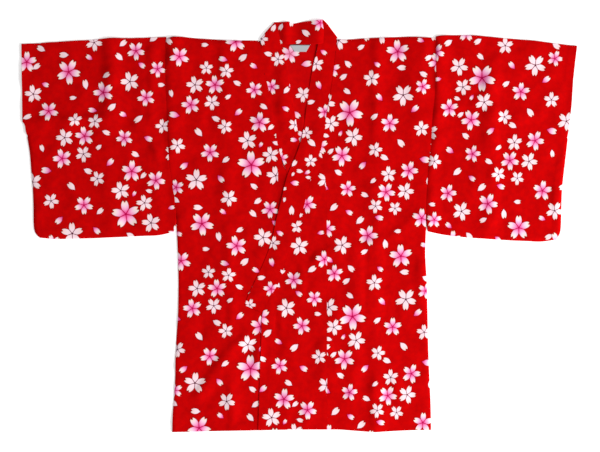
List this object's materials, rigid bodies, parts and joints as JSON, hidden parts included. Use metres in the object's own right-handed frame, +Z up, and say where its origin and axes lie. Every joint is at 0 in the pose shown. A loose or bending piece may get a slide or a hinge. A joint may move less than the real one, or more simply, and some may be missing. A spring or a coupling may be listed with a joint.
{
  "type": "kimono",
  "caption": "Child's half-length kimono in red cotton with a cherry blossom print, laid flat with its left front lapped over the right, wide square sleeves and one long band collar",
  "frame": {"origin": "bottom centre of the bounding box: on the surface the garment lies on, under the middle of its outline", "axes": "X across the garment from the wearer's right sleeve to the left one, Y from the hem to the collar, Z up out of the front of the cloth"},
  "size_m": [0.8886, 0.6613, 0.0059],
  "materials": {
    "cloth": "plain-weave red cotton, matt, printed with white and pink cherry blossoms and loose petals",
    "label": "bare silver-grey woven tape with a black top edge"
  },
  "bodies": {
    "root": {"back": "cloth", "front_right": "cloth", "front_left": "cloth", "front_panel_right": "cloth", "front_panel_left": "cloth", "sleeve_right": "cloth", "sleeve_left": "cloth", "collar": "cloth", "label": "label"}
  },
  "joints": []
}
